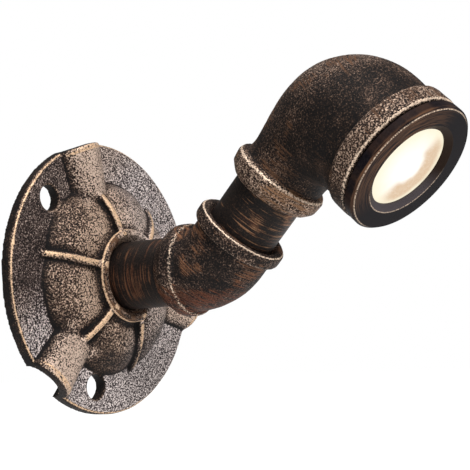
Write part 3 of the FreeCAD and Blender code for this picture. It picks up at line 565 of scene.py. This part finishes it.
def bezel_metal():
    """Near-black satin ring, brown smears on one side of its front, thin painted highlights on
    edges.
    """
    graph = new_graph("satin_bezel")
    place, radius = face_radius(graph)
    height = graph.parts(place)["Z"]
    grain = graph.noise(place, PAINT_SCALE, 3.0)
    ring = graph.vector("MULTIPLY", graph.vector("NORMALIZE", graph.across(place)), (2.2,) * 3)
    outward = graph.joined(Z=graph.both(radius, 2.6))
    marks = graph.noise(graph.vector("ADD", ring, outward), 1.0, 3.0, 0.6)
    coat = graph.mix(graph.span(grain, 0.35, 0.7), INK, INK_LIGHT)
    smear = graph.both(graph.side(place, LIT_SIDE, 0.0, 0.95), graph.span(marks, 0.36, 0.66))
    front = graph.span(height, BEZEL_FRONT - 1.2, BEZEL_FRONT - 0.6, 0.25, 0.85)
    colour = graph.mix(graph.both(smear, front), coat, BROWN)

    bevel = graph.both(graph.span(radius, BEVEL_R + 0.2, BEVEL_R),
                       graph.span(radius, BEVEL_FROM, BEVEL_TO))
    # Painted light: the bevel is painted lighter on one side and darker on the other.
    bevel_hue = graph.mix(graph.side(place, BEVEL_LIGHT_SIDE, 0.2, 0.8), BEVEL_DARK, BEVEL_LIGHT)
    colour = graph.mix(graph.both(bevel, 0.8), colour, bevel_hue)

    # Thin bright lines at the rim and the bevel: painted highlights, the light's reflection on
    # the edges.
    rim_glint = graph.both(graph.band(radius, BEZEL_R - 0.70, 0.27),
                          graph.span(height, BEZEL_FRONT - 0.5, BEZEL_FRONT - 0.2))
    rim_glint = graph.both(rim_glint, graph.side(place, LIT_SIDE, -0.35, 0.1))
    bevel_glint = graph.both(graph.band(radius, BEVEL_R + 0.05, 0.26),
                            graph.side(place, BEVEL_LIGHT_SIDE, 0.15, 0.6))
    lines = graph.both(graph.sum(rim_glint, bevel_glint), graph.span(grain, 0.34, 0.62))
    colour = graph.mix(lines, colour, CREAM)
    return graph.finish({"Base Color": colour, "Metallic": 0.1, "Specular IOR Level": 0.03,
                         "Roughness": graph.span(grain, 0.3, 0.7, 0.42, 0.56),
                         "Normal": graph.bump(grain, 0.25, 0.08 * MM)})


CRESCENT_SIDE = -12          # turn from local X of the reflector's image in the lens
CRESCENT_R = 8.2


def lit_glass():
    """Frosted lens lit from behind: white over the source, cream rim, reflector in tan."""
    graph = new_graph("lit_glass")
    place, radius = face_radius(graph)
    grain = graph.noise(place, 1.6, 3.0)
    soft = graph.noise(place, 0.25, 1.0)
    wavy = graph.sum(radius, graph.swing(soft, 2.4))
    glow = graph.mix(graph.span(wavy, 5.0, 12.5), GLOW_WHITE, GLOW_CREAM)
    crescent = graph.both(graph.span(wavy, CRESCENT_R - 4.2, CRESCENT_R - 1.2),
                          graph.span(wavy, CRESCENT_R + 4.6, CRESCENT_R + 1.6))
    crescent = graph.both(crescent, graph.side(place, CRESCENT_SIDE, -0.10, 0.50))
    crescent = graph.both(crescent, graph.span(grain, 0.0, 0.6, 0.55, 1.0))
    glow = graph.mix(crescent, glow, GLOW_TAN)
    return graph.finish({"Base Color": GLASS, "Roughness": 0.45,
                         "Specular IOR Level": 0.15, "Emission Color": glow,
                         "Emission Strength": graph.span(radius, 0.0, 7.0, 1.06, 0.90),
                         "Normal": graph.bump(grain, 0.15, 0.05 * MM)})


def mottled(name, light, dark, roughness, metallic, scale, bump):
    """Plain stuff of the parts inside: mottled colour, uneven sheen and fine texture."""
    graph = new_graph(name)
    place = graph.place()
    mottle = graph.noise(place, scale, 3.0)
    fine = graph.noise(place, scale * 4, 2.0)
    colour = graph.mix(graph.span(mottle, 0.35, 0.65), dark, light)
    colour = graph.mix(graph.both(graph.span(fine, 0.58, 0.72), 0.25), colour, light)
    rough = graph.span(fine, 0.3, 0.7, roughness - 0.08, roughness + 0.08)
    return graph.finish({"Base Color": colour, "Roughness": rough, "Metallic": metallic,
                         "Normal": graph.bump(fine, bump, 0.06 * MM)})


# Stuff of each part inside: light tone, dark tone, roughness, metallic, mottling and bump.
INSIDE = {
    "gasket": ((0.045, 0.043, 0.042, 1), (0.020, 0.019, 0.019, 1), 0.75, 0.0, 1.2, 0.3),
    "reflector": ((0.86, 0.87, 0.88, 1), (0.70, 0.71, 0.73, 1), 0.22, 1.0, 0.6, 0.1),
    "led_chip": ((0.88, 0.72, 0.20, 1), (0.75, 0.58, 0.12, 1), 0.45, 0.0, 2.2, 0.2),
    "led_board": ((0.80, 0.81, 0.79, 1), (0.66, 0.68, 0.66, 1), 0.40, 0.0, 0.9, 0.1),
    "screw": ((0.60, 0.58, 0.54, 1), (0.36, 0.35, 0.33, 1), 0.32, 1.0, 2.0, 0.2),
    "thermal_pad": ((0.36, 0.47, 0.52, 1), (0.27, 0.36, 0.41, 1), 0.85, 0.0, 1.8, 0.4),
    "heat_sink": ((0.62, 0.63, 0.65, 1), (0.42, 0.43, 0.45, 1), 0.38, 1.0, 1.1, 0.25),
    "insulator": ((0.78, 0.75, 0.66, 1), (0.62, 0.58, 0.49, 1), 0.60, 0.0, 1.3, 0.15),
    "circuit_board": ((0.055, 0.17, 0.075, 1), (0.025, 0.085, 0.038, 1), 0.38, 0.0, 1.4, 0.2),
    "ferrite": ((0.085, 0.080, 0.078, 1), (0.035, 0.033, 0.032, 1), 0.70, 0.1, 2.4, 0.4),
    "capacitor": ((0.070, 0.095, 0.190, 1), (0.032, 0.045, 0.110, 1), 0.30, 0.0, 0.8, 0.1),
    "rectifier": ((0.040, 0.040, 0.042, 1), (0.018, 0.018, 0.019, 1), 0.55, 0.0, 2.6, 0.35),
    "lead_sheath": ((0.82, 0.81, 0.77, 1), (0.60, 0.59, 0.55, 1), 0.48, 0.0, 0.7, 0.15),
    "lead_red": ((0.52, 0.035, 0.028, 1), (0.33, 0.018, 0.015, 1), 0.42, 0.0, 1.5, 0.12),
    "lead_black": ((0.032, 0.032, 0.034, 1), (0.012, 0.012, 0.013, 1), 0.42, 0.0, 1.5, 0.12),
    "bush": ((0.060, 0.058, 0.056, 1), (0.028, 0.027, 0.026, 1), 0.55, 0.0, 1.3, 0.25),
    "cable_tie": ((0.040, 0.040, 0.042, 1), (0.018, 0.018, 0.019, 1), 0.50, 0.0, 1.0, 0.15),
    "earth_tag": ((0.72, 0.56, 0.24, 1), (0.46, 0.34, 0.13, 1), 0.34, 1.0, 1.6, 0.2),
}
STUFF_OF = {
    "lens_gasket": "gasket", "reflector": "reflector", "led_chip": "led_chip",
    "led_board": "led_board", "board_screws": "screw", "earth_screw": "screw",
    "thermal_pad": "thermal_pad", "heat_sink": "heat_sink", "insulator": "insulator",
    "driver_board": "circuit_board", "driver_inductor": "ferrite",
    "driver_capacitor": "capacitor", "driver_rectifier": "rectifier",
    "supply_lead_wall": "lead_sheath", "supply_lead_arm": "lead_sheath",
    "supply_lead_head": "lead_sheath", "led_lead_positive": "lead_red",
    "led_lead_negative": "lead_black", "inlet_bush": "bush", "strain_tie": "cable_tie",
    "earth_tag": "earth_tag",
}


# ---- castings -------------------------------------------------------------------------------
RIB_TURN = 46.0              # turn of the first rib from local X of the wall frame
RIB_COUNT = 6
RIDGE_TURN = 106.0
RIDGE_COUNT = 3
DISC_TOP = 4.0               # front of the flange's disc above the wall, millimetres
FLANGE_R = extent("wall_flange", WALL)[0]
HUB_R = 14.8
HUB_TOP = 15.0
RIB_FOOT, RIB_SIDE = 1.4, 0.7        # half width of a rib at its foot and near its crest
RIDGE_FOOT, RIDGE_SIDE = 9.5, 6.0    # the same of a ridge
RIDGE_START, RIDGE_FULL = 24.0, 28.0     # where a ridge rises, out from the hub's axis
FORM_HEIGHT = 0.4            # how proud of its surroundings a large form stands
ELBOW_OUT = ELBOW_CENTRE.dot(OUTWARDS) / MM
WALL_BAND_TOP = ELBOW_OUT - 7.0      # end of the first elbow's band, along the wall frame
ARM_BAND_START = 10.9                # its other band, along the arm frame
ARM_BAND_TOP = 15.3
SMALL_BAND_R = 14.1                  # rubbed edge of the small bands
HEAD_BAND_R = 20.1                   # the head's large band, along the face frame
HEAD_BAND_BACK = 22.8
HEAD_BAND_FRONT = 28.6
INLET_END = extent("head_elbow", INLET)[2]
INLET_BAND_EDGE = 26.4               # rubbed edge of the head's small band


def off_spoke(local, turn, count):
    """Distance of each point from the nearest of some spokes, and from the hub's axis."""
    reach = np.hypot(local[:, 0], local[:, 1])
    pitch = 2 * math.pi / count
    angle = np.arctan2(local[:, 1], local[:, 0]) - math.radians(turn)
    angle = (angle + pitch / 2) % pitch - pitch / 2
    return np.abs(np.sin(angle)) * reach, reach


def flange_softness(mesh):
    """Petals and valleys are soft pillows; ribs, hub ring and rim stay crisp."""
    local = local_points(read_points(mesh), WALL)
    off_rib, reach = off_spoke(local, RIB_TURN, RIB_COUNT)
    soft = smooth_step(off_rib, 1.5, 2.6) * smooth_step(reach, HUB_R + 0.6, HUB_R + 2.5)
    soft *= smooth_step(reach, FLANGE_R - 3, FLANGE_R - 6)
    soft *= smooth_step(local[:, 2], DISC_TOP, DISC_TOP + 0.6)
    return 8, 0.02 + 0.5 * soft


def evenly_crisp(_):
    """One light round of smoothing, the same everywhere."""
    return 1, 0.3


def turned_normals(mesh, matrix):
    """The vertex normals in a local frame."""
    return read_points(mesh, "normals") @ np.array(matrix.to_3x3())


def make_flange():
    piece, edges, forms = casting("wall_flange", "wall_mount", "flange_casting",
                                  FLANGE_VOXEL, flange_softness, 6, 36)
    keep_off_pipe(piece, "wall_nipple", WALL)
    mesh = piece.data
    local = local_points(read_points(mesh), WALL)
    rightward, upward, facing = turned_normals(mesh, WALL).T
    right, up, out = local.T
    off_rib, reach = off_spoke(local, RIB_TURN, RIB_COUNT)
    off_ridge = off_spoke(local, RIDGE_TURN, RIDGE_COUNT)[0]

    # Where each form lies.
    disc = smooth_step(facing, 0.80, 0.95) * smooth_step(out, DISC_TOP + 0.9, DISC_TOP + 0.3)
    disc *= smooth_step(out, DISC_TOP - 1.0, DISC_TOP - 0.5)
    ridge = smooth_step(off_ridge, RIDGE_FOOT, RIDGE_SIDE)
    ridge *= smooth_step(reach, RIDGE_START, RIDGE_FULL)
    hub = smooth_step(reach, HUB_R + 0.1, HUB_R - 0.4)
    hub *= smooth_step(out, HUB_TOP - 3.0, HUB_TOP - 2.2)
    rib = smooth_step(off_rib, RIB_FOOT, RIB_SIDE) * smooth_step(forms, 0.12, 0.45)
    brown = hub * smooth_step(right + 0.6 * up, 3, -5)

    # Dry brushing and painted light: the bronze is denser on the disc's right, a painted
    # highlight, towards its foot and on proud forms, and none on the sides. Hollows and creases
    # between forms, the lower petals, the petals' outer slopes and faces turned to the left get
    # less, a painted shade; the ridges' crests get more, a painted highlight.
    disc_bronze_and_highlight = 0.26 + 0.32 * smooth_step(right, -36, 2) + 0.30 * smooth_step(-up, -2, 16)
    disc_bronze_and_highlight = np.minimum(disc_bronze_and_highlight, 0.60)
    # Proud forms get more bronze; hollows and creases get less, a painted shade.
    bronze_and_shade = 0.69 + 0.60 * np.clip(forms / FORM_HEIGHT, -0.62, 0.25)
    # Painted shade: less bronze on the lower petals and on the petals' outer slopes.
    bronze_and_shade -= (0.27 * smooth_step(-up, 8, 18) + 0.25 * smooth_step(reach, 19, 27)) * (1 - ridge)
    bronze_and_shade += ridge * (0.30 * smooth_step(out, 6.5, 9.0) - 0.06)
    # Painted shade on faces turned to the left, and a little painted highlight on those turned
    # right.
    bronze_and_shade += 0.25 * np.clip(rightward, -0.7, 0.15)
    bronze = bronze_and_shade + (disc_bronze_and_highlight - bronze_and_shade) * disc
    bronze *= 0.02 + 0.98 * smooth_step(facing, 0.05, 0.45)
    bronze -= 0.35 * brown

    # Rubbed edges, ribs and ends of the ridges.
    worn = smooth_step(edges, 0.05, 0.16) * smooth_step(facing, 0.05, 0.45) * (1 - hub)
    # The ribs' rubbed tan is brighter on their upper sides: a painted highlight.
    worn = np.maximum(worn, rib * smooth_step(facing, 0.35, 0.6) * (0.90 + 0.35 * upward))
    ridge_end = ridge * soft_band(reach, FLANGE_R - 1.3, 0.6) * smooth_step(out, 4.6, 5.6)
    worn = np.maximum(worn, 0.9 * ridge_end * smooth_step(facing, 0.05, 0.3))

    # Painted sheen: grey speckle on the disc, growing away from its upper left, and on the petals
    # right of the hub.
    grey_sheen = disc * (0.40 + 0.50 * smooth_step(right - up, -38, -16))
    grey_sheen += (1 - disc) * (0.45 * smooth_step(right, -6, 8) * (1 - ridge) + 0.15 * ridge)
    put_attributes(mesh, {"bronze": bronze, "grey": np.clip(grey_sheen, 0, 1),
                          "streaks": 4.2 * brown - 1.6, "gold": 0.2 * brown, "worn": worn,
                          "lit": np.ones(len(reach))})
    mesh.materials.append(cast_metal("cast_flange_paint", WALL, BROWN, AMBER, [
        Line(WALL, HUB_R - 0.1, HUB_TOP - 1.1, 0.70, 1.1, 1.1),
        Line(WALL, FLANGE_R - 0.4, DISC_TOP - 0.3, 0.60, 0.9, 0.9)]))


def make_elbow():
    piece, edges, forms = casting("elbow_45", "arm", "elbow_casting",
                                  ELBOW_VOXEL, evenly_crisp, 8, 45)
    keep_off_pipe(piece, "wall_nipple", WALL)
    keep_off_pipe(piece, "arm_nipple", ARM)
    mesh = piece.data
    points = read_points(mesh)
    below = -local_points(points, ELBOW)[:, 2]
    off_wall = local_points(points, WALL)[:, 2]
    up_arm = local_points(points, ARM)[:, 2]
    wall_band = smooth_step(off_wall, WALL_BAND_TOP + 0.5, WALL_BAND_TOP - 0.5)
    wall_band *= smooth_step(up_arm, 9.0, 7.0)
    arm_band = smooth_step(up_arm, ARM_BAND_START - 0.3, ARM_BAND_START + 0.3)
    bands = np.maximum(wall_band, arm_band)
    under = smooth_step(below, 2.0, 9.0)
    by_wall = soft_band(off_wall, ELBOW_OUT - 4.0, 4.0)
    bronze = 0.14 + 0.06 * bands + 0.06 * np.clip(forms / FORM_HEIGHT, -1, 1)
    streaks = np.clip(1.4 * under + 0.7 * by_wall - 0.8 * arm_band, 0, 1.6)
    put_attributes(mesh, {"bronze": bronze, "grey": np.full(len(points), 0.1),
                          "streaks": streaks, "gold": 0.5 * (1 - under),
                          "worn": 0.35 * smooth_step(edges, 0.06, 0.16),
                          "lit": np.ones(len(points))})
    mesh.materials.append(cast_metal("cast_elbow_paint", ARM, RUST, CREAM, [
        Line(ARM, SMALL_BAND_R, ARM_BAND_TOP, 0.63, 1.0, 1.0),
        Line(ARM, SMALL_BAND_R + 0.2, ARM_BAND_START + 0.5, 0.75, 0.45, 0.45),
        Line(WALL, SMALL_BAND_R - 0.1, WALL_BAND_TOP - 0.3, 1.15, 0.6, 0.6)]))


def make_head():
    piece, edges, forms = casting("head_elbow", "head", "head_casting",
                                  HEAD_VOXEL, evenly_crisp, 6, 33)
    keep_off_pipe(piece, "arm_nipple", ARM)
    mesh = piece.data
    points = read_points(mesh)
    inlet_side, inlet_out = local_points(points, INLET).T[1:]
    face_x, face_y, face_out = local_points(points, FACE).T
    high = (points[:, 2] - HEAD_CENTRE.z) / MM
    small_band = smooth_step(inlet_out, INLET_END - 7.6, INLET_END - 6.9)
    big_band = smooth_step(face_out, HEAD_BAND_BACK - 0.8, HEAD_BAND_BACK - 0.2)
    big_band *= smooth_step(np.hypot(face_x, face_y), HEAD_BAND_R - 1.1, HEAD_BAND_R - 0.7)
    lower = smooth_step(inlet_side, 1.0, 9.0)
    upper = smooth_step(-inlet_side, 7.0, 13.0)
    # Turn of the lit side, where the bands carry their painted highlights.
    rubbed = math.radians(LIT_SIDE - 25)
    seen_side = (face_x * math.cos(rubbed) + face_y * math.sin(rubbed)) / BEZEL_R
    lit = smooth_step(seen_side, -0.3, 0.6)
    # Painted highlight: the bronze grows towards the top of the head; painted shade: less on its
    # lower side.
    dome_highlight_and_shade = 0.18 + 0.34 * smooth_step(high, -4, 20) + 0.06 * np.clip(forms / FORM_HEIGHT, -1, 1)
    dome_highlight_and_shade -= 0.09 * lower
    # The large band's bronze is brighter on its lit side: a painted highlight.
    bronze = dome_highlight_and_shade + (0.12 + 0.30 * lit - dome_highlight_and_shade) * big_band
    bronze += (0.46 - 0.30 * upper - bronze) * small_band
    streaks = (0.60 - 0.95 * lower) * (1 - big_band) * (1 - small_band) + 1.5 * small_band * lower
    # Grey rising towards the top of the head is a painted sheen.
    put_attributes(mesh, {"bronze": bronze, "grey": 0.55 * smooth_step(high, 4, 20),
                          "streaks": streaks, "gold": small_band,
                          "worn": 0.35 * smooth_step(edges, 0.06, 0.16), "lit": lit})
    mesh.materials.append(cast_metal("cast_head_paint", INLET, BROWN, CREAM, [
        Line(FACE, HEAD_BAND_R, HEAD_BAND_FRONT, 1.0, 0.35, 0.75),
        Line(FACE, HEAD_BAND_R, HEAD_BAND_BACK, 0.8, 0.5, 0.0),
        Line(INLET, SMALL_BAND_R, INLET_BAND_EDGE, 1.0, 0.75, 0.75)]))


make_flange()
make_elbow()
make_head()

give("wall_nipple", turned_pipe("wall_nipple_paint", WALL, 0.20, BROWN, 200))
give("arm_nipple", turned_pipe("arm_nipple_paint", ARM, 0.26, GOLD, -75))
give("bezel_ring", bezel_metal())
give("lens", lit_glass())
stuffs = {stuff: mottled(stuff, *look) for stuff, look in INSIDE.items()}
for node_name, stuff in STUFF_OF.items():
    give(node_name, stuffs[stuff])


# ---- stage, light, camera -------------------------------------------------------------------
def make_floor():
    """Pale floor that glows white where it is seen, so that only the shadow shows on it."""
    graph = new_graph("pale_floor")
    place = graph.add("ShaderNodeTexCoord").outputs["Object"]
    tone = graph.mix(graph.noise(place, 3.0, 3.0), FLOOR_DARK, FLOOR_LIGHT)
    surface = graph.add("ShaderNodeBsdfDiffuse", {"Color": tone})
    path = graph.add("ShaderNodeLightPath").outputs
    seen = graph.math("MAXIMUM", path["Is Camera Ray"], path["Is Glossy Ray"])
    seen = graph.math("MAXIMUM", seen, path["Is Transmission Ray"])
    strength = graph.span(graph.vector("LENGTH", place), 0.5, 1.5,
                          FLOOR_GLOW_NEAR, FLOOR_GLOW_FAR)
    glow = graph.add("ShaderNodeEmission",
                     {"Color": WHITE, "Strength": graph.both(seen, strength)})
    total = graph.add("ShaderNodeAddShader", {0: surface.outputs[0], 1: glow.outputs[0]})
    bpy.ops.mesh.primitive_plane_add(size=FLOOR_SIZE, location=(0, 0, FLOOR_Z))
    floor = bpy.context.object
    floor.name = "floor"
    floor.data.materials.append(graph.show(total.outputs[0]))


def make_world():
    """Soft light from all sides, seen by the camera as plain white."""
    graph = Graph(bpy.data.worlds.new("studio"), "ShaderNodeOutputWorld")
    path = graph.add("ShaderNodeLightPath").outputs
    seen = graph.math("MAXIMUM", path["Is Camera Ray"], path["Is Transmission Ray"])
    sky = graph.add("ShaderNodeBackground", {"Color": WHITE, "Strength": SKY_STRENGTH})
    white = graph.add("ShaderNodeBackground", {"Color": WHITE, "Strength": 1.0})
    blend = graph.add("ShaderNodeMixShader", {0: seen, 1: sky.outputs[0], 2: white.outputs[0]})
    bpy.context.scene.world = graph.show(blend.outputs[0])


def area_light(name, place, size, watts):
    lamp = bpy.data.lights.new(name, "AREA")
    lamp.shape = "DISK"
    lamp.size = size
    lamp.energy = watts
    holder = bpy.data.objects.new(name, lamp)
    holder.location = place
    holder.rotation_mode = "QUATERNION"
    holder.rotation_quaternion = (MIDDLE - Vector(place)).to_track_quat("-Z", "Y")
    bpy.context.collection.objects.link(holder)


def make_camera():
    data = bpy.data.cameras.new("camera")
    data.sensor_width = SENSOR
    data.lens = FOCAL_PIXELS * SENSOR / FRAME_PIXELS
    data.clip_start = 0.01
    camera = bpy.data.objects.new("camera", data)
    backwards = CAMERA_RIGHT.cross(CAMERA_UP)
    turn = Matrix((CAMERA_RIGHT, CAMERA_UP, backwards)).transposed()
    camera.matrix_world = Matrix.Translation(CAMERA_AT) @ turn.to_4x4()
    bpy.context.collection.objects.link(camera)
    bpy.context.scene.camera = camera


make_floor()
make_world()
for area in AREA_LIGHTS:
    area_light(*area)
make_camera()
bpy.context.scene.view_settings.view_transform = "Standard"
